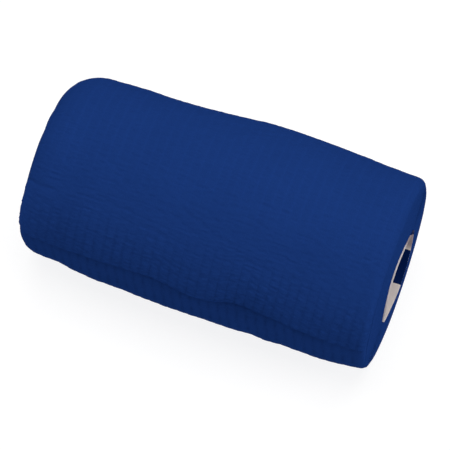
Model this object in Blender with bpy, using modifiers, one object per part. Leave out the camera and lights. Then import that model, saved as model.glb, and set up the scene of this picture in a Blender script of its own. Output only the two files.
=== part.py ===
"""A cohesive bandage roll lying on its side: a crinkled elastic strip wound on a short tube.

The roll's axis runs along X, with its neat end at +X and its soft, rounded end at -X.
It rests on a small flat spot at Z = 0. Angles round the axis are seen from +X: 0 degrees
points to +Y, 90 degrees straight up and 180 degrees to -Y. Sizes are in metres.
"""

import math
from collections import namedtuple

import bmesh
import bpy
from mathutils import Vector

MM = 0.001

# The strip, as wound.
STRIP_WIDTH = 101.6 * MM
TURNS = 22.5
TUBE_INNER_RADIUS = 12.7 * MM
TUBE_WALL = 0.5 * MM
CLEARANCE = 0.3 * MM
BORE_RADIUS = TUBE_INNER_RADIUS + TUBE_WALL + CLEARANCE
AXIS_HEIGHT = 27.4 * MM  # less than the roll's radius, so the belly is pressed flat
QUARTER_TURN = math.radians(90)
FULL_TURN = math.radians(360)

# How far the roll reaches on its two long sides, and where along its axis. It was wound by
# machine but is soft: waisted near the rounded end and fullest past the middle.
LONG_SIDE = math.radians(22)  # the direction in which `back` is measured; `front` is opposite
REACH_INWARD = 0.65  # the reaches lie this share of a turn in from the cut end
Section = namedtuple("Section", "x back front")
SECTIONS = (
    Section(x=-50.8 * MM, back=26.85 * MM, front=25.65 * MM),
    Section(x=-44.0 * MM, back=26.7 * MM, front=25.8 * MM),
    Section(x=-38.0 * MM, back=26.95 * MM, front=26.05 * MM),
    Section(x=-34.0 * MM, back=27.1 * MM, front=26.95 * MM),
    Section(x=-29.0 * MM, back=27.15 * MM, front=27.4 * MM),
    Section(x=-22.0 * MM, back=27.05 * MM, front=27.5 * MM),
    Section(x=-14.0 * MM, back=27.3 * MM, front=28.05 * MM),
    Section(x=-8.0 * MM, back=27.7 * MM, front=28.15 * MM),
    Section(x=-2.0 * MM, back=28.15 * MM, front=28.5 * MM),
    Section(x=6.0 * MM, back=28.85 * MM, front=28.35 * MM),
    Section(x=14.0 * MM, back=28.95 * MM, front=28.35 * MM),
    Section(x=25.0 * MM, back=28.5 * MM, front=28.35 * MM),
    Section(x=38.0 * MM, back=27.75 * MM, front=28.55 * MM),
    Section(x=50.8 * MM, back=27.3 * MM, front=27.4 * MM),
)

# The strip's cut end, which lies stuck down along the roll and lifts a little: its angle
# round the axis, and how far its lip stands off the turn beneath.
Cut = namedtuple("Cut", "x angle lift")
CUT_END = (
    Cut(x=-50.8 * MM, angle=166.3, lift=0.05 * MM),
    Cut(x=-46.0 * MM, angle=165.9, lift=0.05 * MM),
    Cut(x=-39.0 * MM, angle=166.4, lift=0.05 * MM),
    Cut(x=-32.0 * MM, angle=163.0, lift=0.1 * MM),
    Cut(x=-23.5 * MM, angle=162.7, lift=0.1 * MM),
    Cut(x=-18.0 * MM, angle=161.4, lift=0.15 * MM),
    Cut(x=-11.5 * MM, angle=160.4, lift=0.1 * MM),
    Cut(x=-6.5 * MM, angle=161.6, lift=0.1 * MM),
    Cut(x=1.0 * MM, angle=163.8, lift=0.1 * MM),
    Cut(x=7.0 * MM, angle=162.4, lift=0.15 * MM),
    Cut(x=14.0 * MM, angle=158.0, lift=0.15 * MM),
    Cut(x=20.0 * MM, angle=159.6, lift=0.1 * MM),
    Cut(x=27.0 * MM, angle=161.6, lift=0.05 * MM),
    Cut(x=33.0 * MM, angle=163.1, lift=0.05 * MM),
    Cut(x=42.0 * MM, angle=164.8, lift=0.05 * MM),
    Cut(x=50.8 * MM, angle=166.3, lift=0.05 * MM),
)
LIP_THICKNESS = 0.55 * MM
LIFTED_ARC = math.radians(14)  # the strip starts to rise this far before its end
UNDERCUT_ARC = math.radians(9)  # the gap under the lip closes this far behind it

# The ends: an arc whose radius changes round the rim and is greatest at the angle `widest`,
# and how far over that arc goes.
Rim = namedtuple("Rim", "radius change widest sweep steps")
SOFT_RIM = Rim(8.7 * MM, 2.4 * MM, widest=LONG_SIDE, sweep=math.radians(62), steps=6)
NEAT_RIM = Rim(1.8 * MM, 1.4 * MM, widest=QUARTER_TURN, sweep=math.radians(75), steps=4)

POINTS_ROUND = 72
BODY_SECTIONS = 19
TUBE_SIDES = 64
TUBE_CHAMFER = 0.1 * MM
CUTTER_EXTRA = 10 * MM

STRIP_BLUE = (0.0093, 0.0369, 0.178, 1)
STRIP_ROUGHNESS = 0.85
TUBE_WHITE = (0.62, 0.58, 0.60, 1)
TUBE_ROUGHNESS = 0.5
SHARP_ANGLE = math.radians(40)


def between_rows(rows, column, x):
    """The column's value at x, on a smooth curve through the table's rows."""
    last = len(rows) - 1
    i = max(0, min(last - 1, sum(row.x <= x for row in rows) - 1))
    near = [rows[max(0, i - 1)], rows[i], rows[i + 1], rows[min(last, i + 2)]]
    at = [row.x for row in near]
    value = [getattr(row, column) for row in near]
    span = at[2] - at[1]
    slope_in = (value[2] - value[0]) / (at[2] - at[0]) * span
    slope_out = (value[3] - value[1]) / (at[3] - at[1]) * span
    t = max(0.0, min(1.0, (x - at[1]) / span))
    return (
        value[1] * (2 * t**3 - 3 * t**2 + 1)
        + slope_in * (t**3 - 2 * t**2 + t)
        + value[2] * (3 * t**2 - 2 * t**3)
        + slope_out * (t**3 - t**2)
    )


def smoothstep(t):
    t = max(0.0, min(1.0, t))
    return t * t * (3 - 2 * t)


def last_turn_radius(x, angle, turns_inward):
    """The strip's outer face at this place, this share of a turn in from the cut end."""
    back = between_rows(SECTIONS, "back", x)
    front = between_rows(SECTIONS, "front", x)
    reach = (back + front) / 2 + (back - front) / 2 * math.cos(angle - LONG_SIDE)
    turn_thickness = (reach - BORE_RADIUS) / TURNS
    return reach + (REACH_INWARD - turns_inward) * turn_thickness


def rim_radius(rim, angle):
    return rim.radius + rim.change * math.cos(angle - rim.widest)


def section_outline(x, place):
    """One closed outline round the roll, starting where the last turn begins under the lip.

    place(angle) gives the point's own x and how far the rim's arc has dropped there.
    """
    cut = math.radians(between_rows(CUT_END, "angle", x))
    lift = between_rows(CUT_END, "lift", x)
    points = []

    def add(angle, radius):
        own_x, drop = place(angle)
        r = radius - drop
        z = max(0.0, AXIS_HEIGHT + r * math.sin(angle))
        points.append(Vector((own_x, r * math.cos(angle), z)))

    for i in range(POINTS_ROUND + 1):
        share = i / POINTS_ROUND
        angle = cut + share * FULL_TURN
        rise = smoothstep(1 - (1 - share) * FULL_TURN / LIFTED_ARC)
        add(angle, last_turn_radius(x, angle, 1 - share) + lift * rise)
    add(cut, last_turn_radius(x, cut, 0) + lift - LIP_THICKNESS)
    add(cut - UNDERCUT_ARC, last_turn_radius(x, cut, 1 + UNDERCUT_ARC / FULL_TURN))
    return points


def rim_outline(rim, end, sweep):
    """An outline on a rim's arc: end is -1 or 1, and sweep goes from 0 to rim.sweep."""

    def inset(angle):
        return rim_radius(rim, angle) * (math.sin(rim.sweep) - math.sin(sweep))

    def place(angle):
        drop = rim_radius(rim, angle) * (1 - math.cos(sweep))
        return end * (STRIP_WIDTH / 2 - inset(angle)), drop

    middle_inset = rim.radius * (math.sin(rim.sweep) - math.sin(sweep))
    return section_outline(end * (STRIP_WIDTH / 2 - middle_inset), place)


def roll_outlines():
    """Every outline of the loft, from the rounded end to the neat one."""
    outlines = []
    for i in range(SOFT_RIM.steps):
        sweep = SOFT_RIM.sweep * (1 - i / (SOFT_RIM.steps - 1))
        outlines.append(rim_outline(SOFT_RIM, -1, sweep))
    first = -STRIP_WIDTH / 2 + (SOFT_RIM.radius + SOFT_RIM.change) * math.sin(SOFT_RIM.sweep)
    last = STRIP_WIDTH / 2 - (NEAT_RIM.radius + NEAT_RIM.change) * math.sin(NEAT_RIM.sweep)
    for i in range(1, BODY_SECTIONS):
        x = first + (last - first) * i / BODY_SECTIONS
        outlines.append(section_outline(x, lambda angle, x=x: (x, 0.0)))
    for i in range(NEAT_RIM.steps):
        sweep = NEAT_RIM.sweep * i / (NEAT_RIM.steps - 1)
        outlines.append(rim_outline(NEAT_RIM, 1, sweep))
    return outlines


def lofted_mesh(name, outlines):
    """A closed mesh through outlines of the same number of points, with flat ends."""
    bm = bmesh.new()
    rings = [[bm.verts.new(point) for point in outline] for outline in outlines]
    for ring, following in zip(rings, rings[1:]):
        for i in range(len(ring)):
            j = (i + 1) % len(ring)
            bm.faces.new((ring[i], ring[j], following[j], following[i]))
    bm.faces.new(list(reversed(rings[0])))
    bm.faces.new(rings[-1])
    bmesh.ops.recalc_face_normals(bm, faces=bm.faces)
    mesh = bpy.data.meshes.new(name)
    bm.to_mesh(mesh)
    bm.free()
    return mesh


def material(name, colour, roughness):
    made = bpy.data.materials.new(name)
    made.use_nodes = True
    shader = made.node_tree.nodes["Principled BSDF"]
    shader.inputs["Base Color"].default_value = colour
    shader.inputs["Roughness"].default_value = roughness
    shader.inputs["Metallic"].default_value = 0.0
    made.diffuse_color = colour
    return made


def add_object(name, mesh, collection):
    made = bpy.data.objects.new(name, mesh)
    collection.objects.link(made)
    return made


def make_bore_cutter(collection, centre):
    """A cylinder along the roll's axis that reaches past both its ends."""
    bm = bmesh.new()
    bmesh.ops.create_cone(
        bm,
        cap_ends=True,
        segments=TUBE_SIDES,
        radius1=BORE_RADIUS,
        radius2=BORE_RADIUS,
        depth=STRIP_WIDTH + 2 * CUTTER_EXTRA,
    )
    mesh = bpy.data.meshes.new("bore_cutter")
    bm.to_mesh(mesh)
    bm.free()
    cutter = add_object("bore_cutter", mesh, collection)
    cutter.location = centre
    cutter.rotation_euler = (0, QUARTER_TURN, 0)
    cutter.hide_render = True
    cutter.display_type = "WIRE"
    return cutter


def make_roll(collection, cutter, outlines, centre):
    """The wound strip: one solid whose last turn ends in a lifted lip."""
    mesh = lofted_mesh("bandage_roll", outlines)
    mesh.materials.append(material("crinkled_blue_strip", STRIP_BLUE, STRIP_ROUGHNESS))
    roll = add_object("bandage_roll", mesh, collection)
    roll.location.y = centre.y
    bore = roll.modifiers.new("bore", "BOOLEAN")
    bore.operation = "DIFFERENCE"
    bore.solver = "EXACT"
    bore.object = cutter
    mesh.shade_smooth()
    mesh.set_sharp_from_angle(angle=SHARP_ANGLE)
    return roll


def make_tube(collection, centre):
    """The plain tube that the strip is wound on: its wall's section, turned about the axis."""
    inner, outer = TUBE_INNER_RADIUS, TUBE_INNER_RADIUS + TUBE_WALL
    half, chamfer = STRIP_WIDTH / 2, TUBE_CHAMFER
    wall = (
        (outer - chamfer, half),
        (outer, half - chamfer),
        (outer, chamfer - half),
        (outer - chamfer, -half),
        (inner + chamfer, -half),
        (inner, chamfer - half),
        (inner, half - chamfer),
        (inner + chamfer, half),
    )
    mesh = bpy.data.meshes.new("core_tube")
    edges = [(i, (i + 1) % len(wall)) for i in range(len(wall))]
    mesh.from_pydata([(radius, 0, z) for radius, z in wall], edges, [])
    mesh.materials.append(material("white_tube", TUBE_WHITE, TUBE_ROUGHNESS))
    tube = add_object("core_tube", mesh, collection)
    tube.location = centre
    tube.rotation_euler = (0, QUARTER_TURN, 0)
    turn = tube.modifiers.new("turn", "SCREW")
    turn.axis = "Z"
    turn.angle = FULL_TURN
    turn.steps = TUBE_SIDES
    turn.render_steps = TUBE_SIDES
    turn.use_merge_vertices = True
    turn.merge_threshold = 0.0001 * MM
    turn.use_smooth_shade = True
    return tube


def main():
    for old in list(bpy.data.objects):
        bpy.data.objects.remove(old)
    parts = bpy.data.collections.new("cohesive_bandage_roll")
    cutters = bpy.data.collections.new("cutters")
    bpy.context.scene.collection.children.link(parts)
    bpy.context.scene.collection.children.link(cutters)

    outlines = roll_outlines()
    sides = [point.y for outline in outlines for point in outline]
    # The axis stands a little to one side, so that the whole roll is centred on Y = 0.
    centre = Vector((0, -(min(sides) + max(sides)) / 2, AXIS_HEIGHT))
    cutter = make_bore_cutter(cutters, centre)
    make_roll(parts, cutter, outlines, centre)
    make_tube(parts, centre)


main()
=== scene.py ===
# %% [markdown]
# # A cohesive bandage roll, from cloth to picture
# This lesson dresses a roll of cohesive bandage: one long crinkled strip, wound on a short
# white tube and lying on its side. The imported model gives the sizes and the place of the
# two pieces. Here we wind the real strip, turn by turn, give it its puckers and elastic
# threads as real relief, and finish the cloth, the tube and the studio around them.
#
# The roll's axis runs along X. Angles round the axis are seen from +X: 0 degrees points to
# +Y, 90 degrees straight up and 180 degrees to -Y.

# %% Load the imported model
import math
from collections import namedtuple

import bpy
import numpy as np
from mathutils import Matrix, Vector


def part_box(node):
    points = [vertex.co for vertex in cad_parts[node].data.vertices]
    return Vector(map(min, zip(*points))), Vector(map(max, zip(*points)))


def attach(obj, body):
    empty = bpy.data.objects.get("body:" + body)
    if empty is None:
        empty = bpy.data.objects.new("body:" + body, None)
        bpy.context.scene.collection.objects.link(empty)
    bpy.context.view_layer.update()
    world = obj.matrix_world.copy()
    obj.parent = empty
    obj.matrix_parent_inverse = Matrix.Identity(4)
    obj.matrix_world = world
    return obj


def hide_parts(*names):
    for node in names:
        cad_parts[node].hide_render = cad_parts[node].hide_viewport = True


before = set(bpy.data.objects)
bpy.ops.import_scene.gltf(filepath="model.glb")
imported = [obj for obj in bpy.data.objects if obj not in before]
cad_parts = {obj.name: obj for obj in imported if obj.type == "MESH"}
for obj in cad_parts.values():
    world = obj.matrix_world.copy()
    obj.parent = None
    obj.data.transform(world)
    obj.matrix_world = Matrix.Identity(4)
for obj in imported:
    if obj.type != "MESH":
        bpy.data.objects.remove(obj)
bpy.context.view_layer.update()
MM = 0.001
print("nodes:", sorted(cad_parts))

# %% [markdown]
# ## Read the driving sizes
# The roll's box gives the strip's width, because the strip lies square across the roll. The
# tube's box gives the axis and the radius that the first turn is wound on. Nothing here is
# guessed twice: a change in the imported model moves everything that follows. Only the tube's
# wall is set here, because the solid's is thicker than the real one.

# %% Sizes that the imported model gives
roll_low, roll_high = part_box("bandage_roll")
tube_low, tube_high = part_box("core_tube")
STRIP_WIDTH = roll_high.x - roll_low.x
AXIS = Vector((0, (tube_low.y + tube_high.y) / 2, (tube_low.z + tube_high.z) / 2))
TUBE_OUTER = (tube_high.z - tube_low.z) / 2
TUBE_WALL = 0.22 * MM
TUBE_INNER = TUBE_OUTER - TUBE_WALL
FULL_TURN = 2 * math.pi
print(f"strip {STRIP_WIDTH / MM:.1f} mm wide, tube radius {TUBE_OUTER / MM:.2f} mm")

# %% [markdown]
# ## The camera
# The picture is taken from above and a little to the right, from well over a metre away with
# a long lens. So the far end looks hardly smaller than the near one. We place the camera
# first, because it decides how much relief the picture can show. The aim is a little beside
# the roll's middle, which puts the roll slightly left of and above the picture's centre.

# %% Place the camera
PICTURE_SIDE = 450  # pixels
SENSOR = 36.0
CAMERA_AZIMUTH = math.radians(19.83)
CAMERA_ELEVATION = math.radians(66.33)
CAMERA_DISTANCE = 1.3
FOCAL_LENGTH_PIXELS = 4735
AIM_RIGHT = 1.02 * MM
AIM_DOWN = 2.03 * MM
CLIP_NEAR, CLIP_FAR = 0.01, 20  # metres


def make_camera():
    data = bpy.data.cameras.new("camera")
    data.sensor_width = SENSOR
    data.lens = FOCAL_LENGTH_PIXELS / PICTURE_SIDE * SENSOR
    data.clip_start, data.clip_end = CLIP_NEAR, CLIP_FAR
    camera = bpy.data.objects.new("camera", data)
    bpy.context.scene.collection.objects.link(camera)
    flat = math.cos(CAMERA_ELEVATION)
    back = Vector(
        (
            math.sin(CAMERA_AZIMUTH) * flat,
            -math.cos(CAMERA_AZIMUTH) * flat,
            math.sin(CAMERA_ELEVATION),
        )
    )
    right = Vector((math.cos(CAMERA_AZIMUTH), math.sin(CAMERA_AZIMUTH), 0))
    up = back.cross(right)
    aim = AXIS + right * AIM_RIGHT - up * AIM_DOWN
    turn = Matrix((right, up, back)).transposed()
    camera.matrix_world = Matrix.Translation(aim + back * CAMERA_DISTANCE) @ turn.to_4x4()
    bpy.context.scene.camera = camera
    return camera


camera = make_camera()
print("lens", round(camera.data.lens), "mm")

# %% [markdown]
# ## The roll's form
# A soft roll isn't a cylinder. This one is waisted near its rounded end and fullest past its
# middle. Two short tables hold what the eye picks out: how far the roll reaches on its two
# long sides, and where the strip's cut end lies. Smooth curves through the rows fill in the
# rest. The tables are those of the solid, so the cloth lies exactly where the solid is.

# %% The tables, and a smooth curve through them
Section = namedtuple("Section", "x back front")
SECTIONS = (
    Section(x=-50.8, back=26.85, front=25.65),
    Section(x=-44.0, back=26.7, front=25.8),
    Section(x=-38.0, back=26.95, front=26.05),
    Section(x=-34.0, back=27.1, front=26.95),
    Section(x=-29.0, back=27.15, front=27.4),
    Section(x=-22.0, back=27.05, front=27.5),
    Section(x=-14.0, back=27.3, front=28.05),
    Section(x=-8.0, back=27.7, front=28.15),
    Section(x=-2.0, back=28.15, front=28.5),
    Section(x=6.0, back=28.85, front=28.35),
    Section(x=14.0, back=28.95, front=28.35),
    Section(x=25.0, back=28.5, front=28.35),
    Section(x=38.0, back=27.75, front=28.55),
    Section(x=50.8, back=27.3, front=27.4),
)
Cut = namedtuple("Cut", "x angle lift")
CUT_END = (
    Cut(x=-50.8, angle=166.3, lift=0.05),
    Cut(x=-46.0, angle=165.9, lift=0.05),
    Cut(x=-39.0, angle=166.4, lift=0.05),
    Cut(x=-32.0, angle=163.0, lift=0.1),
    Cut(x=-23.5, angle=162.7, lift=0.1),
    Cut(x=-18.0, angle=161.4, lift=0.15),
    Cut(x=-11.5, angle=160.4, lift=0.1),
    Cut(x=-6.5, angle=161.6, lift=0.1),
    Cut(x=1.0, angle=163.8, lift=0.1),
    Cut(x=7.0, angle=162.4, lift=0.15),
    Cut(x=14.0, angle=158.0, lift=0.15),
    Cut(x=20.0, angle=159.6, lift=0.1),
    Cut(x=27.0, angle=161.6, lift=0.05),
    Cut(x=33.0, angle=163.1, lift=0.05),
    Cut(x=42.0, angle=164.8, lift=0.05),
    Cut(x=50.8, angle=166.3, lift=0.05),
)


def column_at(rows, column, x):
    """The column's value at each x, on a smooth curve through the table's rows."""
    at = np.array([row.x for row in rows])
    value = np.array([getattr(row, column) for row in rows])
    before = np.r_[at[0], at[:-1]], np.r_[value[0], value[:-1]]
    after = np.r_[at[1:], at[-1]], np.r_[value[1:], value[-1]]
    slope = (after[1] - before[1]) / (after[0] - before[0])
    i = np.clip(np.searchsorted(at, x, side="right") - 1, 0, len(at) - 2)
    span = at[i + 1] - at[i]
    t = np.clip((x - at[i]) / span, 0, 1)
    return (
        value[i] * (2 * t**3 - 3 * t**2 + 1)
        + slope[i] * span * (t**3 - 2 * t**2 + t)
        + value[i + 1] * (3 * t**2 - 2 * t**3)
        + slope[i + 1] * span * (t**3 - t**2)
    )


print("fullest reach:", max(row.back for row in SECTIONS), "mm")

# %% [markdown]
# ## Winding
# A point on the strip is told by three numbers: its share of the way across the strip, the
# layer that it lies in, and its angle round the axis. The layer counts turns from the tube
# outwards and grows all the time, as in any spiral. Across the strip the cloth runs straight
# along the roll and then bends over each rim on an arc: a wide one at the soft end, a tight
# one at the neat end. Inner layers bend less, in step with how far out they lie.

# %% From strip to space
TURNS = 22.5
REACH_INWARD = 0.65  # the table's reaches lie this share of a turn in from the cut end
LONG_SIDE = math.radians(22)
CLEARANCE, FIRST_GAP = 0.3, 0.1  # from the tube to the solid's bore, and to the first turn
BORE_RADIUS = TUBE_OUTER / MM + CLEARANCE
FIRST_RADIUS = TUBE_OUTER / MM + FIRST_GAP
HALF = STRIP_WIDTH / MM / 2
Rim = namedtuple("Rim", "radius change widest sweep")
SOFT_RIM = Rim(radius=8.7, change=2.4, widest=LONG_SIDE, sweep=math.radians(62))
NEAT_RIM = Rim(radius=1.8, change=1.4, widest=math.radians(90), sweep=math.radians(75))


def across(share, angle):
    """x and how far the rims' arcs drop towards the axis, in mm, across the outermost layer."""
    soft = SOFT_RIM.radius + SOFT_RIM.change * np.cos(angle - SOFT_RIM.widest)
    neat = NEAT_RIM.radius + NEAT_RIM.change * np.cos(angle - NEAT_RIM.widest)
    soft_x = -HALF + soft * math.sin(SOFT_RIM.sweep)
    neat_x = HALF - neat * math.sin(NEAT_RIM.sweep)
    soft_arc, neat_arc = soft * SOFT_RIM.sweep, neat * NEAT_RIM.sweep
    walked = share * (soft_arc + (neat_x - soft_x) + neat_arc)
    soft_tilt = np.clip(1 - walked / soft_arc, 0, None) * SOFT_RIM.sweep
    past = walked - soft_arc - (neat_x - soft_x)
    neat_tilt = np.clip(past / neat, 0, NEAT_RIM.sweep)
    body = np.clip(soft_x + walked - soft_arc, soft_x, neat_x)
    x = body - soft * np.sin(soft_tilt) + neat * np.sin(neat_tilt)
    drop = soft * (1 - np.cos(soft_tilt)) + neat * (1 - np.cos(neat_tilt))
    return x, drop


def layer_radius(x, angle, layer, drop):
    """How far from the axis this layer's outer face lies, in mm."""
    back, front = column_at(SECTIONS, "back", x), column_at(SECTIONS, "front", x)
    reach = (back + front) / 2 + (back - front) / 2 * np.cos(angle - LONG_SIDE)
    outermost = reach + REACH_INWARD * (reach - BORE_RADIUS) / TURNS
    return FIRST_RADIUS + layer / TURNS * (outermost - drop - FIRST_RADIUS)


def in_space(x, radius, angle):
    """Points in the row's frame, in metres, pressed flat where the roll meets the ground."""
    y = AXIS.y + radius * MM * np.cos(angle)
    z = AXIS.z + radius * MM * np.sin(angle)
    return np.stack([x * MM + 0 * y, y, np.maximum(z, 0)], axis=-1)


middle_radius = (layer_radius(0.0, 0.0, TURNS, 0) + FIRST_RADIUS) / 2
print(f"wound length about {(TURNS - 1) * FULL_TURN * middle_radius / 1000:.2f} m")

# %% [markdown]
# ## Noise that repeats each run
# Cloth is uneven, but a lesson has to give the same roll each time. So the unevenness comes
# from a lattice of random numbers with a fixed seed, read through a smooth curve. Stretching
# the two coordinates by different amounts gives streaks instead of blobs.

# %% Smooth noise on a lattice
def smooth_noise(u, v, seed):
    """Smooth random values from -1 to 1 at the points (u, v), one lattice cell per unit."""
    u, v = np.broadcast_arrays(np.asarray(u, float), np.asarray(v, float))
    u, v = u - u.min(), v - v.min()
    lattice = np.random.default_rng(seed).uniform(-1, 1, (int(u.max()) + 3, int(v.max()) + 3))
    i, j = u.astype(int), v.astype(int)
    s, t = u - i, v - j
    s, t = s * s * (3 - 2 * s), t * t * (3 - 2 * t)
    low = lattice[i, j] * (1 - s) + lattice[i + 1, j] * s
    high = lattice[i, j + 1] * (1 - s) + lattice[i + 1, j + 1] * s
    return low * (1 - t) + high * t


def smoothstep(t):
    t = np.clip(t, 0, 1)
    return t * t * (3 - 2 * t)


def mix(first, second, share):
    """Goes from first to second as share goes from 0 to 1."""
    return first + (second - first) * share


Ripple = namedtuple("Ripple", "strength reach wave seed")


def ripple(row, across_mm, along_mm, sway=0):
    """Noise of the row's strength, with blobs of its reach across the strip and wave along it."""
    return row.strength * smooth_noise(across_mm / row.reach, along_mm / row.wave + sway, row.seed)


print("noise sample:", round(float(smooth_noise(0.4, 0.7, 1)), 3))

# %% [markdown]
# ## How the cloth changes along the strip
# Where the strip is wound tight, it is drawn nearly smooth and its threads show as pale
# lines. Near the cut end it is free to shrink, and there it is at its most crinkled. Below
# the lip the cloth was pressed. A table tells all this by the degrees of winding left before
# the cut end. Its last two columns say how far the face stands out, in mm, and how much paler
# its colour is painted: painted light just above the lip, and painted shade on the pressed
# turn below it.

# %% How relaxed, pressed and threaded the cloth is
Ease = namedtuple("Ease", "before_cut relaxed pressed threaded stands pale")
EASE = (
    Ease(before_cut=0, relaxed=1.0, pressed=0.0, threaded=0.0, stands=0.05, pale=0.1),
    Ease(before_cut=14, relaxed=1.0, pressed=0.0, threaded=0.0, stands=-0.05, pale=0.25),
    Ease(before_cut=23, relaxed=0.7, pressed=0.0, threaded=0.0, stands=-0.1, pale=0.4),
    Ease(before_cut=32, relaxed=0.35, pressed=0.0, threaded=0.1, stands=-0.15, pale=0.3),
    Ease(before_cut=45, relaxed=0.1, pressed=0.0, threaded=0.35, stands=-0.2, pale=0.0),
    Ease(before_cut=60, relaxed=0.0, pressed=0.0, threaded=0.6, stands=-0.2, pale=0.0),
    Ease(before_cut=78, relaxed=0.0, pressed=0.0, threaded=0.8, stands=-0.2, pale=0.0),
    Ease(before_cut=100, relaxed=0.0, pressed=0.0, threaded=0.6, stands=-0.2, pale=0.0),
    Ease(before_cut=150, relaxed=0.0, pressed=0.0, threaded=0.5, stands=-0.2, pale=0.0),
    Ease(before_cut=290, relaxed=0.05, pressed=0.0, threaded=0.3, stands=-0.18, pale=0.0),
    # Painted shade: this row darkens the pressed turn just below the lip.
    Ease(before_cut=325, relaxed=0.25, pressed=0.8, threaded=0.0, stands=-0.12, pale=-1.2),
    Ease(before_cut=348, relaxed=0.25, pressed=0.9, threaded=0.0, stands=-0.12, pale=0.0),
    Ease(before_cut=375, relaxed=0.25, pressed=1.0, threaded=0.0, stands=-0.12, pale=0.0),
)


def ease_at(column, before_cut):
    """The column's value, on straight lines between the table's rows."""
    degrees = [row.before_cut for row in EASE]
    return np.interp(before_cut, degrees, [getattr(row, column) for row in EASE])


print("relaxed 40 degrees before the cut:", round(float(ease_at("relaxed", 40)), 2))

# %% [markdown]
# ## The elastic threads
# Elastic threads run along the strip, a few millimetres apart, and hold the cloth gathered.
# Each one draws the cloth down into a narrow groove. They wander a little, and lean where the
# cloth was pressed. We also number the cells between them, because relaxed cloth puckers in
# each cell on its own. At the soft end the threads pull less.

# %% Find the thread beside each point
THREAD_SPACING = 2.74
THREAD_OFFSET = 0.25
THREAD_WANDER = Ripple(strength=0.1, reach=16, wave=22, seed=11)  # in spacings
PRESSED_LEAN = 0.13  # how far the pressed threads drift across for each mm along
MM_PER_DEGREE = math.radians(28)  # along the cloth, on a roll of 28 mm radius
GROOVE_WIDTH = 0.25
PRESSED_WIDENS = 0.5
SOFT_GRIP = 0.45
GRIP_GROWS_FROM, GRIP_GROWS_OVER = 8, 22  # mm across the strip


def threads(across_mm, along_mm, before_cut):
    """The cell that a point lies in, and how deep in a thread's groove it is, from 0 to 1."""
    pressed = ease_at("pressed", before_cut)
    lean = PRESSED_LEAN * (EASE[-1].before_cut - before_cut) * MM_PER_DEGREE * pressed
    wander = ripple(THREAD_WANDER, across_mm, along_mm)
    place = (across_mm - lean + THREAD_OFFSET) / THREAD_SPACING + wander
    cell = np.floor(place)
    inside = place - cell
    to_thread = np.minimum(inside, 1 - inside) * THREAD_SPACING
    width = GROOVE_WIDTH * (1 + PRESSED_WIDENS * pressed)
    return cell, np.exp(-((to_thread / width) ** 2))


def thread_grip(across_mm, pressed):
    """How hard the threads pull the cloth down, from 0 to 1."""
    grip = mix(SOFT_GRIP, 1, smoothstep((across_mm - GRIP_GROWS_FROM) / GRIP_GROWS_OVER))
    return mix(grip, 1, pressed)


print("threads across the strip:", int(STRIP_WIDTH / MM / THREAD_SPACING))

# %% [markdown]
# ## The puckers
# Between the threads the nonwoven stands up in small puckers that lie across the strip. In
# tight cloth they run on as fine streaks over several threads. In relaxed cloth each cell has
# its own, with finer ones on top. So three kinds of noise are mixed by how relaxed the cloth
# is. A reach is in mm across the strip, and a wave in mm along it.

# %% Raise the puckers
SWAY = Ripple(strength=0.2, reach=7, wave=12, seed=12)
LONG_STREAKS = Ripple(strength=1, reach=1.9, wave=0.55, seed=13)
SHORT_STREAKS = Ripple(strength=0.7, reach=1.1, wave=0.4675, seed=14)
CELL_PUCKERS = Ripple(strength=0.5, reach=1, wave=0.66, seed=15)  # its reach is in cells
UNEVENNESS = Ripple(strength=0.3, reach=1.1, wave=0.55, seed=16)
FINE_PUCKERS = Ripple(strength=0.55, reach=0.9, wave=0.715, seed=18)
SOFT_END_REACH = 14  # mm over which the streaks grow from half their strength
STREAKS_SHOW = (0.7, 0.15)  # in tight cloth and in relaxed cloth, as in the pairs below
GROOVES_FLATTEN = (0.15, 0.75)
PRESSED_FLATTENS = 0.7
PUCKER_HEIGHT = (0.1, 0.12)


def puckers(across_mm, along_mm, cell, groove, relaxed, pressed):
    """Height of the puckers in mm."""
    sway = ripple(SWAY, across_mm, along_mm)
    streaks = ripple(LONG_STREAKS, across_mm, along_mm, sway)
    streaks = streaks + ripple(SHORT_STREAKS, across_mm, along_mm, sway)
    streaks = streaks * mix(0.5, 1, smoothstep(across_mm / SOFT_END_REACH))
    own = ripple(CELL_PUCKERS, cell, along_mm, sway) + ripple(UNEVENNESS, across_mm, along_mm)
    fine = ripple(FINE_PUCKERS, across_mm, along_mm)
    raised = streaks * mix(*STREAKS_SHOW, relaxed) + own + fine * relaxed
    raised = raised * (1 - groove * mix(*GROOVES_FLATTEN, relaxed)) * (1 - PRESSED_FLATTENS * pressed)
    return raised * mix(*PUCKER_HEIGHT, relaxed)


print("puckers up to", max(PUCKER_HEIGHT), "mm of relief for each unit of noise")

# %% [markdown]
# ## The whole crinkle
# The relief is the puckers less the grooves. From the same values come three marks for the
# cloth's colour: the painted shade, how far a pale thread shows, and how loose the cloth is.
# The painted shade darkens the grooves and paints the crests paler, as a painted highlight.
# The mesh carries the marks to the material, so colour and relief always agree.

# %% The relief of the crinkle, and its marks
GROOVE_DEPTH = (0.01, 0.12)  # in tight and in relaxed cloth
PRESSED_GROOVE = 0.12
# Painted shade in the grooves, and painted highlight on the crests.
GROOVE_PAINTED_SHADE = 0.85
PAINTED_GROOVE_SHADE_VARIES = Ripple(strength=0.5, reach=1 / 0.9, wave=1.3, seed=17)  # its reach is in cells
PRESSED_PAINTED_SHADE = 0.2
CREST_PAINTED_HIGHLIGHT = (1.9, 1.7)  # for each mm of height, in tight and in relaxed cloth
ROUGH_PALENESS = 0.5


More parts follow.
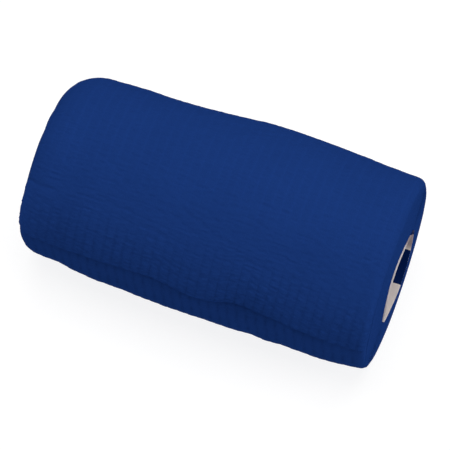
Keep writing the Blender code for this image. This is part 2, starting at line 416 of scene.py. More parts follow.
def crinkle(across_mm, along_mm, before_cut, rough):
    """Height of the crinkled cloth over its base in mm, and the marks for its colour."""
    pressed = ease_at("pressed", before_cut)
    relaxed = np.maximum(ease_at("relaxed", before_cut), rough)
    cell, groove = threads(across_mm, along_mm, before_cut)
    grip = thread_grip(across_mm, pressed)
    height = puckers(across_mm, along_mm, cell, groove, relaxed, pressed)
    depth = mix(*GROOVE_DEPTH, relaxed * (1 - pressed)) + PRESSED_GROOVE * pressed
    height = height - groove * grip * depth
    weight = np.maximum(relaxed, pressed)
    # Painted shade: the grooves are painted darker, and the crests paler as a painted highlight. The rough
    # corner is made paler, and the table's pale column adds painted light and shade.
    painted_groove_shade = groove * (GROOVE_PAINTED_SHADE + ripple(PAINTED_GROOVE_SHADE_VARIES, cell, along_mm))
    painted_shade = (weight + PRESSED_PAINTED_SHADE * pressed) * grip * painted_groove_shade
    painted_shade = painted_shade - mix(*CREST_PAINTED_HIGHLIGHT, weight) * height * (1 - groove)
    painted_shade = painted_shade - ROUGH_PALENESS * rough - ease_at("pale", before_cut)
    threaded = ease_at("threaded", before_cut) * groove
    return height, {"painted_shade": painted_shade, "threaded": threaded, "loose": relaxed}


sample = crinkle(np.arange(0, 100, 0.3)[:, None], np.arange(0, 60, 0.3)[None, :], 10, 0)[0]
print(f"crinkle from {sample.min():.2f} to {sample.max():.2f} mm near the cut end")

# %% [markdown]
# ## Meshes from rings
# A wound strip is a long tube of flat section. So both cloth pieces are made the same way:
# one closed ring of points across the strip for each station along it, joined to the next
# ring by four-sided faces, with a cap at each end. Each point also keeps its place on the
# flat cloth as a UV, in millimetres, so that the weave follows the strip round every turn.

# %% Join rings into a mesh
def cap(ring, columns):
    """Closes a ring's end with triangles between its outer columns and the points that run back."""
    out, back = ring[:columns], ring[columns:][::-1]
    i = j = 0
    faces = []
    while i < len(out) - 1 or j < len(back) - 1:
        if (i + 1) * (len(back) - 1) <= (j + 1) * (len(out) - 1):
            faces.append([out[i], back[j], out[i + 1]])
            i += 1
        else:
            faces.append([out[i], back[j], back[j + 1]])
            j += 1
    return faces


def mesh_from_rings(name, rings, columns, cloth_uv, marks):
    """rings is (stations, points, 3) in metres. Each of marks has one value a point."""
    stations, around = rings.shape[:2]
    index = np.arange(stations * around).reshape(stations, around)
    following = np.roll(index, -1, axis=1)
    quads = np.stack([index[:-1], index[1:], following[1:], following[:-1]], axis=-1)
    faces = quads.reshape(-1, 4).tolist()
    faces += [face[::-1] for face in cap(index[0].tolist(), columns)]
    faces += cap(index[-1].tolist(), columns)
    mesh = bpy.data.meshes.new(name)
    mesh.from_pydata(rings.reshape(-1, 3).tolist(), [], faces)
    corner = np.empty(len(mesh.loops), np.int32)
    mesh.loops.foreach_get("vertex_index", corner)
    uv = mesh.uv_layers.new(name="cloth")
    uv.data.foreach_set("uv", cloth_uv.reshape(-1, 2)[corner].astype(np.float32).ravel())
    for mark, values in marks.items():
        attribute = mesh.attributes.new(mark, "FLOAT", "POINT")
        attribute.data.foreach_set("value", values.reshape(-1).astype(np.float32))
    mesh.shade_smooth()
    made = bpy.data.objects.new(name, mesh)
    bpy.context.scene.collection.objects.link(made)
    triangles = len(quads.reshape(-1, 4)) * 2
    print(f"{name}: {stations} stations, about {triangles} triangles")
    return made


# %% [markdown]
# ## Stations of the outermost turn
# Only this turn shows its face, so it gets nearly all the points: five columns to each cell
# between threads, crowded towards the thread so that its groove stays narrow, and a station
# every quarter of a millimetre near the cut end, where the crinkle is strongest. At the back
# the stations lie further apart.

# %% Lay out the stations and columns
CUT_ANGLE = math.radians(162)  # the cut end's mean angle
OVERLAP = 0.04  # turns hidden under the lip
Spread = namedtuple("Spread", "before_cut step")
SPREAD = (  # how far apart the stations lie, in mm
    Spread(before_cut=0, step=0.24),
    Spread(before_cut=75, step=0.24),
    Spread(before_cut=95, step=0.36),
    Spread(before_cut=140, step=0.36),
    Spread(before_cut=150, step=0.6),
    Spread(before_cut=310, step=0.6),
    Spread(before_cut=330, step=0.25),
    Spread(before_cut=375, step=0.25),
)
STATION_SAMPLES = 5000
CELLS = 38
COLUMN_PLACES = (0.0, 0.12, 0.37, 0.63, 0.88)


def station_places():
    """Turns before the cut end, from the hidden start to the cut, as closely as SPREAD says."""
    fine = np.linspace(0, 1 + OVERLAP, STATION_SAMPLES)
    step = np.interp(fine * 360, [row.before_cut for row in SPREAD], [row.step for row in SPREAD])
    length = fine * FULL_TURN * layer_radius(0.0, 0.0, TURNS, 0)
    count = np.concatenate([[0], np.cumsum(np.diff(length) / step[1:])])
    return np.interp(np.linspace(0, count[-1], int(count[-1]) + 1), count, fine)[::-1]


print("stations:", len(station_places()), "columns:", CELLS * len(COLUMN_PLACES) + 1)

# %% [markdown]
# ## The two ends of the roll
# No roll is wound quite straight. At the soft end each turn's edge lies a little further in
# or out than the next. At the neat end the inner turns stand out, more so on the upper half of
# each side, and the cut face leans a little.

# %% Let the edges wander
EDGE_WAVES = 9  # in a turn
TURNS_APART = 1.7  # the noise's distance from one turn to the next
SOFT_EDGE, SOFT_EDGE_REACH, SOFT_SEED = 0.22, 0.08, 21  # in mm, and a share of the width
NEAT_EDGE, NEAT_EDGE_REACH, NEAT_SEED = 0.04, 0.06, 22
END_LEAN, LEANS_AT = 0.16, math.radians(-48)  # the neat end lies this many mm further in there
CORE_SHIFT = 0.5  # the innermost turns stand out of the neat end by this much
MOUTH_BEND, MOUTH_REACH = 0.75, 0.1  # and their edges a little more on the upper half of each side
UPPERMOST = math.radians(112)


def near_soft_end(share, reach):
    return smoothstep(1 - share / reach)


def near_neat_end(share, reach):
    return smoothstep((share - (1 - reach)) / reach)


def mouth_bend(angle):
    """How much further the neat end's mouth stands out at this angle round the axis, in mm."""
    off = angle - UPPERMOST
    return MOUTH_BEND * np.cos(off) * np.sin(off) ** 2


def edge_shift(share, angle, layer):
    """How far a point lies towards +X of the evenly wound strip, in mm."""
    along = angle / FULL_TURN * EDGE_WAVES + layer * EDGE_WAVES
    turn = np.floor(layer) * TURNS_APART
    soft_side = -SOFT_EDGE * smooth_noise(along, turn, SOFT_SEED) * near_soft_end(share, SOFT_EDGE_REACH)
    lean = END_LEAN * np.clip(np.cos(angle - LEANS_AT), 0, None) ** 2
    neat_side = NEAT_EDGE * smooth_noise(along, turn, NEAT_SEED) - lean
    neat_side = neat_side * near_neat_end(share, NEAT_EDGE_REACH)
    core = CORE_SHIFT + mouth_bend(angle) * near_neat_end(share, MOUTH_REACH)
    return core * (1 - layer / TURNS) + soft_side + neat_side


print(f"the mouth bends by up to {max(mouth_bend(np.linspace(0, FULL_TURN, 90))):.2f} mm")

# %% [markdown]
# ## Marks of handling, and painted shade at the lip
# Hands leave marks on a soft roll. One crease runs in from the soft end, and the corner below
# it is swollen and rougher. Near the other end the cloth round the lip is painted a deeper
# blue, as painted shade. Wide shallow dents lie all round.

# %% Crease, swollen corner, painted shade at the lip and dents
Crease = namedtuple("Crease", "angle reach depth swell width")
CREASE = Crease(angle=128.5, reach=13, depth=0.25, swell=0.12, width=1.6)  # degrees and mm
SWELLS_OVER, SWOLLEN_DEGREES, SWELLING_FADES = 4, 50, 25
# Painted shade: a patch round the lip, near x = 17 mm, is painted darker.
LipShade = namedtuple("LipShade", "x reach degrees depth")
LIP_SHADE = LipShade(x=17, reach=8, degrees=12, depth=0.9)
DENTS = Ripple(strength=0.12, reach=17, wave=21, seed=31)
PRESSED_DENTS = Ripple(strength=0.3, reach=5, wave=8, seed=32)


def soft_corner(x, angle):
    """The soft end's crease and the swollen, rougher corner below it: height and roughness."""
    past = np.degrees(angle) - CREASE.angle
    near_edge = smoothstep(1 - (x + HALF) / CREASE.reach)
    below = smoothstep(past / SWELLS_OVER) * smoothstep((SWOLLEN_DEGREES - past) / SWELLING_FADES)
    height = CREASE.swell * below - CREASE.depth * np.exp(-((past / CREASE.width) ** 2))
    return height * near_edge, below * near_edge


def lip_painted_shade(x, before_cut):
    """How much darker the cloth is painted round the lip, as painted shade."""
    from_lip = np.minimum(before_cut, np.abs(360 - before_cut)) / LIP_SHADE.degrees
    return LIP_SHADE.depth * np.exp(-(((x - LIP_SHADE.x) / LIP_SHADE.reach) ** 2) - from_lip**2)


def outer_relief(x, angle, across_mm, along_mm, before_cut):
    """How far the outermost turn's face stands out, in mm, and the marks for its colour."""
    corner, rough = soft_corner(x, angle)
    height, marks = crinkle(across_mm, along_mm, before_cut, rough)
    # Painted shade round the lip.
    marks["painted_shade"] = marks["painted_shade"] + lip_painted_shade(x, before_cut)
    pressed_dents = ripple(PRESSED_DENTS, across_mm, along_mm) * ease_at("pressed", before_cut)
    dents = ripple(DENTS, across_mm, along_mm) + pressed_dents
    return ease_at("stands", before_cut) + height + dents + corner, marks


# The printed x is where the lip's painted shade lies.
print("crease at", CREASE.angle, "degrees, shaded lip at x =", LIP_SHADE.x, "mm")

# %% [markdown]
# ## The outermost turn
# It starts hidden under its own cut end, goes once round, lifts a little and ends in a
# rounded lip that follows the wavy cut. First we find where each point of the smooth cloth
# lies, and then the relief moves its face along the surface's normals. The inner face is
# never seen, so it has few columns.

# %% Place the outermost turn's points
CLOTH_THICKNESS = 0.62
LIP_EXTRA = 0.25  # the puckered lip is this much thicker
LIFTED_TURNS = 12 / 360
EASE_TURNS = 0.15  # the stretch over which the strip turns towards the wavy cut
LIP_STEPS = 4
UNDER_STEP = 0.02  # mm that the under side moves on with each step of the lip
EDGE_BULGE = 0.1
INNER_COLUMNS = 12


def outermost_turn():
    """Each point's x and radius in mm, angle, place on the flat strip and degrees before the cut."""
    turns_in = station_places()[:, None]
    places = (np.arange(CELLS)[:, None] + np.array(COLUMN_PLACES)[None, :]).ravel()
    share = np.append(places / CELLS, 1.0)[None, :]
    base_angle = CUT_ANGLE - turns_in * FULL_TURN
    x, _ = across(share, base_angle)
    cut = np.radians(column_at(CUT_END, "angle", x))
    angle = base_angle + (cut - CUT_ANGLE) * smoothstep(1 - turns_in / EASE_TURNS)
    x, drop = across(share, angle)
    layer = TURNS - turns_in
    lift = column_at(CUT_END, "lift", x) * smoothstep(1 - turns_in / LIFTED_TURNS)
    radius = layer_radius(x, angle, layer, drop) + lift
    x = x + edge_shift(share, angle, layer)
    along_mm = (1 + OVERLAP - turns_in) * FULL_TURN * layer_radius(0.0, 0.0, TURNS, 0)
    across_mm = share * CELLS * THREAD_SPACING
    before_cut = np.degrees(turns_in * FULL_TURN) + 0 * share
    return x, radius, angle, across_mm + 0 * along_mm, along_mm + 0 * across_mm, before_cut


def surface_normals(points):
    """Unit normals of a grid of points, pointing away from the axis."""
    along = np.gradient(points, axis=0)
    side = np.gradient(points, axis=1)
    normal = np.cross(side, along)
    normal /= np.linalg.norm(normal, axis=-1, keepdims=True)
    outward = points - np.array([0, AXIS.y, AXIS.z])
    outward[..., 0] = 0
    return normal * np.sign((normal * outward).sum(-1).mean())


def ring_of(face, inner_at, edges):
    """One closed ring for each station: outer face, edge, inner face and the other edge."""
    return np.concatenate([face, edges[-1], face[:, inner_at], edges[0]], axis=1)


def lip_rings(last_ring, forward, normal, thick):
    """Rings that carry the last station's face round a half circle to its under side."""
    columns = len(forward)
    made = []
    for step in range(1, LIP_STEPS + 1):
        turn = math.pi * step / LIP_STEPS
        ring = last_ring.copy()
        ring[:columns] += forward * thick / 2 * math.sin(turn)
        ring[:columns] -= normal * thick / 2 * (1 - math.cos(turn))
        ring[columns:] += forward.mean(axis=0) * UNDER_STEP * MM * step
        made.append(ring)
    return np.stack(made)


print(f"the outermost turn goes round {1 + OVERLAP:.2f} times")

# %% [markdown]
# ## Build the outermost turn
# The face, its two edges and the inner face make one closed ring for each station. The lip's
# rings follow the last station, and take over its marks and its place on the flat cloth.

# %% Build the outermost turn
def build_outermost_turn():
    x, radius, angle, across_mm, along_mm, before_cut = outermost_turn()
    base = in_space(x, radius, angle)
    normal = surface_normals(base)
    stands, marks = outer_relief(x, angle, across_mm, along_mm, before_cut)
    outer = base + normal * (stands * MM)[..., None]
    lip = smoothstep(1 - before_cut / math.degrees(LIFTED_TURNS * FULL_TURN))
    under = base - normal * ((CLOTH_THICKNESS + LIP_EXTRA * lip) * MM)[..., None]
    inner_at = np.linspace(0, x.shape[1] - 1, INNER_COLUMNS).round().astype(int)[::-1]

    def edge(column, side):
        middle = (outer[:, column] + under[:, column]) / 2
        return (middle + np.array([side * EDGE_BULGE * MM, 0, 0]))[:, None]

    def all_round(values):
        return ring_of(values, inner_at, {0: values[:, :1], -1: values[:, -1:]})

    def with_lip(values):
        return np.concatenate([values, np.repeat(values[-1:], LIP_STEPS, axis=0)])

    rings = np.concatenate([outer, edge(-1, 1), under[:, inner_at], edge(0, -1)], axis=1)
    forward = base[-1] - base[-2]
    forward /= np.linalg.norm(forward, axis=-1, keepdims=True)
    thick = np.linalg.norm(outer[-1] - under[-1], axis=-1, keepdims=True)
    rings = np.concatenate([rings, lip_rings(rings[-1], forward, normal[-1], thick)])
    rings[..., 2] = np.maximum(rings[..., 2], 0)
    flat = with_lip(all_round(np.stack([across_mm, along_mm], axis=-1)))
    marks = {mark: with_lip(all_round(values)) for mark, values in marks.items()}
    return mesh_from_rings("outermost_turn", rings, x.shape[1], flat, marks)


last_turn = build_outermost_turn()

# %% [markdown]
# ## The turns inside
# The other turns show only their edges, at the two ends of the roll. They are one spiral
# strip that starts on the tube. Its rings need few points across, but many stations, so that
# each edge can wave with its own puckers and no two turns lie quite alike. Their faces are
# painted dark, and each edge darker where its wave dips towards the axis: painted shade
# between the turns.

# %% Wind the inner turns
STATION_STEP = 0.52
SPIRAL_SAMPLES = 20000
PROFILE = (0.0, 0.006, 0.03, 0.085, 0.97, 0.994, 1.0)
FILL = 0.86  # the share of a layer's room that the cloth takes up
EDGE_WAVE, EDGE_WAVE_LENGTH, EDGE_WAVE_REACH = 0.075, 2.1, 0.02
LAYERS_APART = 1.3  # the noise's distance from one layer to the next
WAVES_DRIFT = Ripple(strength=4, reach=9, wave=1, seed=41)  # in radians
WAVES_VARY = Ripple(strength=0.4, reach=5, wave=1, seed=42)
WAVE_STRENGTH = 0.6
INNER_BULGE = 0.14
# Painted shade between the turns: on their faces, and on each edge where its wave dips.
FACE_PAINTED_SHADE, EDGE_PAINTED_SHADE = 0.75, 0.3


def inner_stations():
    """Layers from the tube to the hidden start of the outermost turn, evenly spaced."""
    fine = np.linspace(1, TURNS - 1 - OVERLAP, SPIRAL_SAMPLES)
    radius = layer_radius(0.0, 0.0, fine, 0)
    steps = np.diff(fine) * FULL_TURN * (radius[1:] + radius[:-1]) / 2
    length = np.concatenate([[0], np.cumsum(steps)])
    along = np.linspace(0, length[-1], int(length[-1] / STATION_STEP))
    return np.interp(along, length, fine), along


def build_inner_turns():
    layer, along = (a[:, None] for a in inner_stations())
    share = np.array(PROFILE)[None, :]
    angle = CUT_ANGLE - (TURNS - layer) * FULL_TURN
    x, drop = across(share, angle)
    x = x + edge_shift(share, angle, layer)
    whole_layer = np.floor(layer) * LAYERS_APART
    phase = FULL_TURN * along / EDGE_WAVE_LENGTH + ripple(WAVES_DRIFT, along, whole_layer)
    wave = EDGE_WAVE * np.sin(phase) * (WAVE_STRENGTH + ripple(WAVES_VARY, along, whole_layer))
    near_edge = near_soft_end(share, EDGE_WAVE_REACH) + near_neat_end(share, EDGE_WAVE_REACH)
    middle = layer - 0.5

    def face(offset):
        radius = layer_radius(x, angle, middle + offset, drop) + wave * near_edge
        return in_space(x, radius, angle)

    def edge(column, side):
        radius = layer_radius(x[:, column], angle[:, 0], middle[:, 0], drop[:, column]) + wave[:, 0]
        return in_space(x[:, column] + side * INNER_BULGE, radius, angle[:, 0])[:, None]

    half = FILL / 2
    rings = np.concatenate([face(half), edge(-1, 1), face(-half)[:, ::-1], edge(0, -1)], axis=1)
    flat = np.stack([share * CELLS * THREAD_SPACING + 0 * along, along + 0 * share], axis=-1)
    uv = np.concatenate([flat, flat[:, -1:], flat[:, ::-1], flat[:, :1]], axis=1)
    # Painted shade: faces dark, edges darker where the wave dips.
    faces_painted_shade = np.full(flat.shape[:2], FACE_PAINTED_SHADE)
    edges_painted_shade = EDGE_PAINTED_SHADE * (1 - np.sin(phase))
    inner_painted_shade = np.concatenate([faces_painted_shade, edges_painted_shade, faces_painted_shade, edges_painted_shade], axis=1)
    marks = {"painted_shade": inner_painted_shade, "threaded": 0 * inner_painted_shade, "loose": 0 * inner_painted_shade}
    return mesh_from_rings("inner_turns", rings, len(PROFILE), uv, marks), along[-1, 0]


inner_turns, inner_length = build_inner_turns()
outer_length = (1 + OVERLAP) * FULL_TURN * layer_radius(0.0, 0.0, TURNS, 0)
print(f"inner strip {inner_length:.0f} mm, outermost turn {outer_length:.0f} mm")

# %% [markdown]
# ## The tube
# The strip is wound on a thin white tube. Its section is a small closed outline with
# rounded lips, and turning that outline about the axis makes the tube. Its near end stands
# proud of the innermost turns, a little more on top, because it was cut askew. We keep the
# wall smooth, because it is what the eye finds inside the dark blue opening.

# %% Turn the tube
TUBE_SIDES = 160
LIP_ROUNDING = 0.08
LIP_POINTS = 4
QUARTER = 90  # degrees
TUBE_PROUD = 0.35  # how far it stands out of the innermost turns
TUBE_ASKEW = 0.1  # its end is cut askew, and stands out this much more on top


def build_tube():
    inner, outer = TUBE_INNER / MM, TUBE_OUTER / MM
    near, far = HALF + CORE_SHIFT + TUBE_PROUD, -HALF + CORE_SHIFT
    corners = ((outer, near), (outer, far), (inner, far), (inner, near))
    profile = []
    for number, (radius, end) in enumerate(corners):
        towards_r = -1 if radius == outer else 1
        centre = (radius + towards_r * LIP_ROUNDING, end - math.copysign(LIP_ROUNDING, end))
        for step in range(LIP_POINTS + 1):
            a = math.radians(QUARTER * (1 - number - step / LIP_POINTS))
            arc = LIP_ROUNDING * math.cos(a), LIP_ROUNDING * math.sin(a)
            profile.append((centre[0] + arc[0], centre[1] + arc[1]))
    profile = np.array(profile)
    angle = np.linspace(0, FULL_TURN, TUBE_SIDES, endpoint=False)[:, None]
    radius, x = profile[None, :, 0], profile[None, :, 1]
    at_mouth = (x > 0) * (mouth_bend(angle) + TUBE_ASKEW * np.cos(angle - UPPERMOST))
    points = in_space(x + at_mouth, radius, angle)
    count = len(profile)
    index = np.arange(TUBE_SIDES * count).reshape(TUBE_SIDES, count)
    beside, above = np.roll(index, -1, axis=1), np.roll(index, -1, axis=0)
    both = np.roll(above, -1, axis=1)
    faces = np.stack([index, beside, both, above], axis=-1).reshape(-1, 4)
    mesh = bpy.data.meshes.new("tube")
    mesh.from_pydata(points.reshape(-1, 3).tolist(), [], faces.tolist())
    mesh.shade_smooth()
    made = bpy.data.objects.new("tube", mesh)
    bpy.context.scene.collection.objects.link(made)
    return made


tube = build_tube()
print("tube:", len(tube.data.polygons), "faces")

# %% [markdown]
# ## A short way to write materials
# Materials here are small node trees. Two helpers keep them readable: one adds a node and
# sets or links its inputs, and one blends two colours by a mask.

# %% Helpers for node trees
def new_material(name):
    made = bpy.data.materials.new(name)
    made.use_nodes = True
    return made, made.node_tree, made.node_tree.nodes["Principled BSDF"]


def node(tree, kind, inputs=None, **settings):
    """Adds a node. An input's value is a number or colour, or an output to link from."""
    made = tree.nodes.new(kind)
    for key, value in settings.items():
        setattr(made, key, value)
    for key, value in (inputs or {}).items():
        if isinstance(value, bpy.types.NodeSocket):
            tree.links.new(value, made.inputs[key])
        else:
            made.inputs[key].default_value = value
    return made


def math_node(tree, operation, a, b=0.0, clamp=False):
    return node(tree, "ShaderNodeMath", {0: a, 1: b}, operation=operation, use_clamp=clamp).outputs[0]


def blend_colours(tree, mask, first, second):
    made = node(tree, "ShaderNodeMix", data_type="RGBA")
    for socket, value in ((made.inputs[0], mask), (made.inputs[6], first), (made.inputs[7], second)):
        if isinstance(value, bpy.types.NodeSocket):
            tree.links.new(value, socket)
        else:
            socket.default_value = value
    return made.outputs[2]


print("material helpers ready")

# %% [markdown]
# ## The cloth's finish
# The cloth is a matt nonwoven: short fibres laid at all angles, dyed deep blue, with latex
# threads under them. The puckers are already real, so the material adds what is finer: the
# fibres, as streaks in two directions, and in loose cloth the finest wrinkles. Both change
# the colour a little and stand out as bump. The painted shade mark from the mesh makes the
# grooves darker and the crests paler, and tight cloth is a touch paler where a thread shows
# through.

# %% The textures of the cloth
CLOTH_DEEP = (0.0067, 0.0270, 0.128, 1)
CLOTH_MID = (0.0093, 0.0369, 0.176, 1)
CLOTH_PALE = (0.0115, 0.0450, 0.213, 1)
FibreLay = namedtuple("FibreLay", "turn shift")  # in radians, and in cells of the noise
FIBRE_LAYS = (FibreLay(turn=0.5, shift=3.1), FibreLay(turn=-0.7, shift=8.4))
FIBRE_SCALE = (5.5, 1.6, 1)
WRINKLE_SCALE = (0.55, 1.5, 1)
PATCH_SCALE = 0.05


def noise_on(tree, place, detail, scale=1.0):
    return node(tree, "ShaderNodeTexNoise", {"Vector": place, "Scale": scale, "Detail": detail}).outputs[0]


def mark_from_mesh(tree, name):
    return node(tree, "ShaderNodeAttribute", attribute_name=name).outputs["Fac"]


def fibres_of(tree, cloth):
    """Two lays of short fibres, as the mean of two streaky noises."""
    streaks = []
    for lay in FIBRE_LAYS:
        shift = (lay.shift, lay.shift, 0)
        placing = {"Vector": cloth, "Rotation": (0, 0, lay.turn), "Scale": FIBRE_SCALE, "Location": shift}
        placed = node(tree, "ShaderNodeMapping", placing).outputs[0]
        streaks.append(noise_on(tree, placed, detail=3.0))
    return math_node(tree, "MULTIPLY", math_node(tree, "ADD", *streaks), 0.5)


def wrinkles_of(tree, cloth):
    """The finest wrinkles, about zero, and only where the cloth is loose."""
    drawn = node(tree, "ShaderNodeMapping", {"Vector": cloth, "Scale": WRINKLE_SCALE}).outputs[0]
    fine = math_node(tree, "SUBTRACT", noise_on(tree, drawn, detail=1.0), 0.5)
    return math_node(tree, "MULTIPLY", fine, mark_from_mesh(tree, "loose"))


print("fibres lie in", len(FIBRE_LAYS), "directions")

# %% [markdown]
# ## How light each place is
# One number from 0 to 1 says how light the cloth is, and picks a colour between deep, middle
# and pale blue. Each texture and each mark adds its part to it, or takes it away.

# %% Make the cloth's material
BASE_SHADE = 0.25
FIBRES_LIGHTEN, PATCHES_LIGHTEN, WRINKLES_LIGHTEN = 1.5, 0.3, 0.95
THREADS_LIGHTEN, PAINTED_SHADE_DARKENS = 0.22, 0.3
FIBRE_BUMP, FIBRE_HEIGHT = 0.35, 0.12 * MM
CLOTH_ROUGHNESS, CLOTH_GLOSS = 0.85, 0.0


def cloth_lightness(tree, cloth, fibres, wrinkles):
    parts = (
        (noise_on(tree, cloth, detail=2.0, scale=PATCH_SCALE), PATCHES_LIGHTEN),
        (wrinkles, WRINKLES_LIGHTEN),
        (mark_from_mesh(tree, "threaded"), THREADS_LIGHTEN),
    )
    light = math_node(tree, "SUBTRACT", math_node(tree, "MULTIPLY", fibres, FIBRES_LIGHTEN), BASE_SHADE)
    for part, share in parts:
        light = math_node(tree, "ADD", light, math_node(tree, "MULTIPLY", part, share))
    # Painted shade and highlight from the mesh's mark darken the grooves and lighten the crests.
    painted_shade = math_node(tree, "MULTIPLY", mark_from_mesh(tree, "painted_shade"), PAINTED_SHADE_DARKENS)
    return math_node(tree, "SUBTRACT", light, painted_shade, clamp=True)


def make_cloth_material():
    material, tree, shader = new_material("crinkled_cloth")
    cloth = node(tree, "ShaderNodeUVMap", uv_map="cloth").outputs[0]
    fibres, wrinkles = fibres_of(tree, cloth), wrinkles_of(tree, cloth)
    doubled = math_node(tree, "MULTIPLY", cloth_lightness(tree, cloth, fibres, wrinkles), 2)
    lower_half = math_node(tree, "MINIMUM", doubled, 1)
    upper_half = math_node(tree, "SUBTRACT", doubled, 1, clamp=True)
    colour = blend_colours(tree, lower_half, CLOTH_DEEP, CLOTH_MID)
    colour = blend_colours(tree, upper_half, colour, CLOTH_PALE)
    relief = math_node(tree, "ADD", fibres, wrinkles)
    raised = {"Strength": FIBRE_BUMP, "Distance": FIBRE_HEIGHT, "Height": relief}
    tree.links.new(colour, shader.inputs["Base Color"])
    tree.links.new(node(tree, "ShaderNodeBump", raised).outputs[0], shader.inputs["Normal"])
    shader.inputs["Roughness"].default_value = CLOTH_ROUGHNESS
    shader.inputs["Specular IOR Level"].default_value = CLOTH_GLOSS
    return material


cloth_material = make_cloth_material()
print("cloth material:", len(cloth_material.node_tree.nodes), "nodes")

# %% [markdown]
# ## The tube's finish
# The tube's wall is off-white and faintly mottled, like coated board. The side that lies
# deepest in its own shade is painted grey, as painted shade. Inside it carries printed navy
# blocks that reach the tube's end; where the upper block runs on over the tube's lip, its navy
# is painted shade for the gap between tube and cloth. We draw them from the place itself: its
# angle round the axis and its distance along it. They are plain blocks with no lettering.

# %% Make the tube's material
TUBE_WHITE = (0.86, 0.78, 0.755, 1)
TUBE_SHADE = (0.76, 0.69, 0.67, 1)
# Painted shade: the board's colour on its shaded side.
TUBE_PAINTED_SHADE = (0.41, 0.34, 0.355, 1)
PRINT_NAVY = (0.0004, 0.011, 0.08, 1)
PRINT_NAVY_PALE = (0.0005, 0.01375, 0.1, 1)
Block = namedtuple("Block", "middle half_angle outwards")  # degrees, and mm beyond the bore
# The upper block reaches 2 mm beyond the bore, over the tube's lip: there its navy is painted shade for
# the gap between tube and cloth.
BLOCKS = (Block(middle=-54, half_angle=23, outwards=0.1), Block(middle=26, half_angle=25, outwards=2))
# Where the painted shade lies, round the axis.
PAINTED_SHADE_SIDE = Block(middle=22, half_angle=53, outwards=2)
PAINTED_SHADE_FADE = 8  # degrees over which the grey side turns white
PRINT_START = tube_high.x + 2 * MM
PRINT_REPEAT = 34 * MM
PRINT_LENGTH_SHARE = 0.72
GRAIN_SCALE, GRAIN_DETAIL = 900.0, 4.0
GRAIN_BUMP, GRAIN_HEIGHT = 0.12, 0.05 * MM
TUBE_ROUGHNESS, TUBE_GLOSS = 0.6, 0.03


def place_on_tube(tree, place):
    """The place's x, its angle round the axis in radians and its distance from the axis."""
    apart = node(tree, "ShaderNodeSeparateXYZ", {0: place})
    y = math_node(tree, "SUBTRACT", apart.outputs[1], AXIS.y)
    z = math_node(tree, "SUBTRACT", apart.outputs[2], AXIS.z)
    squares = math_node(tree, "ADD", math_node(tree, "POWER", y, 2.0), math_node(tree, "POWER", z, 2.0))
    return apart.outputs[0], math_node(tree, "ARCTAN2", z, y), math_node(tree, "SQRT", squares)


def inwards(tree, block, angle):
    """How far inside the block's angles a place lies, in radians."""
    off = math_node(tree, "ABSOLUTE", math_node(tree, "SUBTRACT", angle, math.radians(block.middle)))
    return math_node(tree, "SUBTRACT", math.radians(block.half_angle), off)


def printed_share(tree, x, angle, radius):
    """1 where the tube is printed, and 0 elsewhere."""
    in_block = 0.0
    for block in BLOCKS:
        turned = math_node(tree, "GREATER_THAN", inwards(tree, block, angle), 0.0)
        inside = math_node(tree, "LESS_THAN", radius, TUBE_INNER + block.outwards * MM)
        in_block = math_node(tree, "MAXIMUM", in_block, math_node(tree, "MULTIPLY", turned, inside))
    depth = math_node(tree, "SUBTRACT", PRINT_START, x)
    repeat = math_node(tree, "FRACT", math_node(tree, "DIVIDE", depth, PRINT_REPEAT))
    in_length = math_node(tree, "LESS_THAN", repeat, PRINT_LENGTH_SHARE)
    return math_node(tree, "MULTIPLY", in_block, in_length)


def make_tube_material():
    material, tree, shader = new_material("printed_tube")
    place = node(tree, "ShaderNodeTexCoord").outputs["Object"]
    x, angle, radius = place_on_tube(tree, place)
    grain = noise_on(tree, place, detail=GRAIN_DETAIL, scale=GRAIN_SCALE)
    fade = math.radians(PAINTED_SHADE_FADE)
    # Painted shade: the board turns grey on its shaded side.
    tube_shade_share = math_node(tree, "DIVIDE", inwards(tree, PAINTED_SHADE_SIDE, angle), fade, clamp=True)
    board = blend_colours(tree, grain, TUBE_SHADE, TUBE_WHITE)
    board = blend_colours(tree, tube_shade_share, board, TUBE_PAINTED_SHADE)
    ink = blend_colours(tree, grain, PRINT_NAVY, PRINT_NAVY_PALE)
    colour = blend_colours(tree, printed_share(tree, x, angle, radius), board, ink)
    raised = {"Strength": GRAIN_BUMP, "Distance": GRAIN_HEIGHT, "Height": grain}
    tree.links.new(colour, shader.inputs["Base Color"])
    tree.links.new(node(tree, "ShaderNodeBump", raised).outputs[0], shader.inputs["Normal"])
    shader.inputs["Roughness"].default_value = TUBE_ROUGHNESS
    shader.inputs["Specular IOR Level"].default_value = TUBE_GLOSS
    return material


tube_material = make_tube_material()
print("tube material:", len(tube_material.node_tree.nodes), "nodes")

# %% [markdown]
# ## The studio
# The roll lies on a pale lit table, the kind that glows a little from below, so that hardly
# a shadow is left. The table's light also keeps the shade on the under side blue. One large
# soft light hangs above the roll, and two weaker ones stand off its ends. The surround is as
# bright as the table, so that no horizon shows, but only the camera sees it: it lights nothing.

# %% Floor, lights and surround
FLOOR_SIDE = 60.0  # metres, as the light's sizes are
FLOOR_GAP = 0.05 * MM
FLOOR_COLOUR = (0.2, 0.2, 0.2, 1)
FLOOR_ROUGHNESS = 0.9
FLOOR_GLOW = 0.87
WHITE = (1, 1, 1, 1)
LIGHT_SIDE, LIGHT_DISTANCE = 1.2, 1.6
Light = namedtuple("Light", "name direction power")
LIGHTS = (
    Light(name="soft_light_above", direction=(0.0, 0.1, 1.0), power=21.5),
    Light(name="soft_light_far_end", direction=(-1.0, 0.1, 0.7), power=4.4),
    Light(name="soft_light_near_end", direction=(1.0, 0.1, 0.5), power=9.0),
)
SURROUND_STRENGTH = FLOOR_GLOW


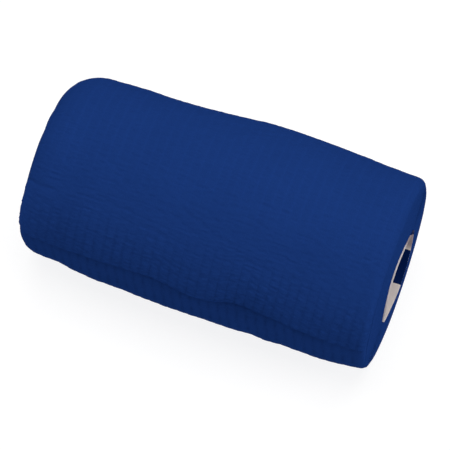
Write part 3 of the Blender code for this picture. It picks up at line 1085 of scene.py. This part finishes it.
def make_floor():
    mesh = bpy.data.meshes.new("floor")
    side = FLOOR_SIDE / 2
    corners = [(-side, -side, 0), (side, -side, 0), (side, side, 0), (-side, side, 0)]
    mesh.from_pydata(corners, [], [(0, 1, 2, 3)])
    floor = bpy.data.objects.new("floor", mesh)
    floor.location.z = -FLOOR_GAP
    bpy.context.scene.collection.objects.link(floor)
    material, _, shader = new_material("pale_floor")
    shader.inputs["Base Color"].default_value = FLOOR_COLOUR
    shader.inputs["Emission Color"].default_value = WHITE
    shader.inputs["Emission Strength"].default_value = FLOOR_GLOW
    shader.inputs["Roughness"].default_value = FLOOR_ROUGHNESS
    mesh.materials.append(material)
    return floor


def make_light(row):
    data = bpy.data.lights.new(row.name, "AREA")
    data.shape = "SQUARE"
    data.size = LIGHT_SIDE
    data.energy = row.power
    light = bpy.data.objects.new(row.name, data)
    towards = Vector(row.direction).normalized()
    light.location = AXIS + towards * LIGHT_DISTANCE
    light.rotation_mode = "QUATERNION"
    light.rotation_quaternion = towards.to_track_quat("Z", "Y")
    bpy.context.scene.collection.objects.link(light)


def make_surround():
    world = bpy.data.worlds.new("surround")
    world.use_nodes = True
    background = world.node_tree.nodes["Background"]
    background.inputs[0].default_value = WHITE
    background.inputs[1].default_value = SURROUND_STRENGTH
    world.cycles_visibility.diffuse = False
    world.cycles_visibility.glossy = False
    bpy.context.scene.world = world


floor = make_floor()
for row in LIGHTS:
    make_light(row)
make_surround()
bpy.context.scene.view_settings.view_transform = "Standard"
print("studio ready")

# %% [markdown]
# ## Attach the pieces
# The two cloth pieces are one strip, parted where nobody can see it: under the lip. Each gets
# the cloth's finish and is attached in place of the imported roll. The tube stands for the
# solid tube.

# %% Join the pieces to the imported model
for piece, length, rests_on in (
    (last_turn, outer_length * MM, [inner_turns]),
    (inner_turns, inner_length * MM, [tube]),
):
    piece.data.materials.append(cloth_material)
    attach(piece, "root")
    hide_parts("bandage_roll")

tube.data.materials.append(tube_material)
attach(tube, "root")
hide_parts("core_tube")
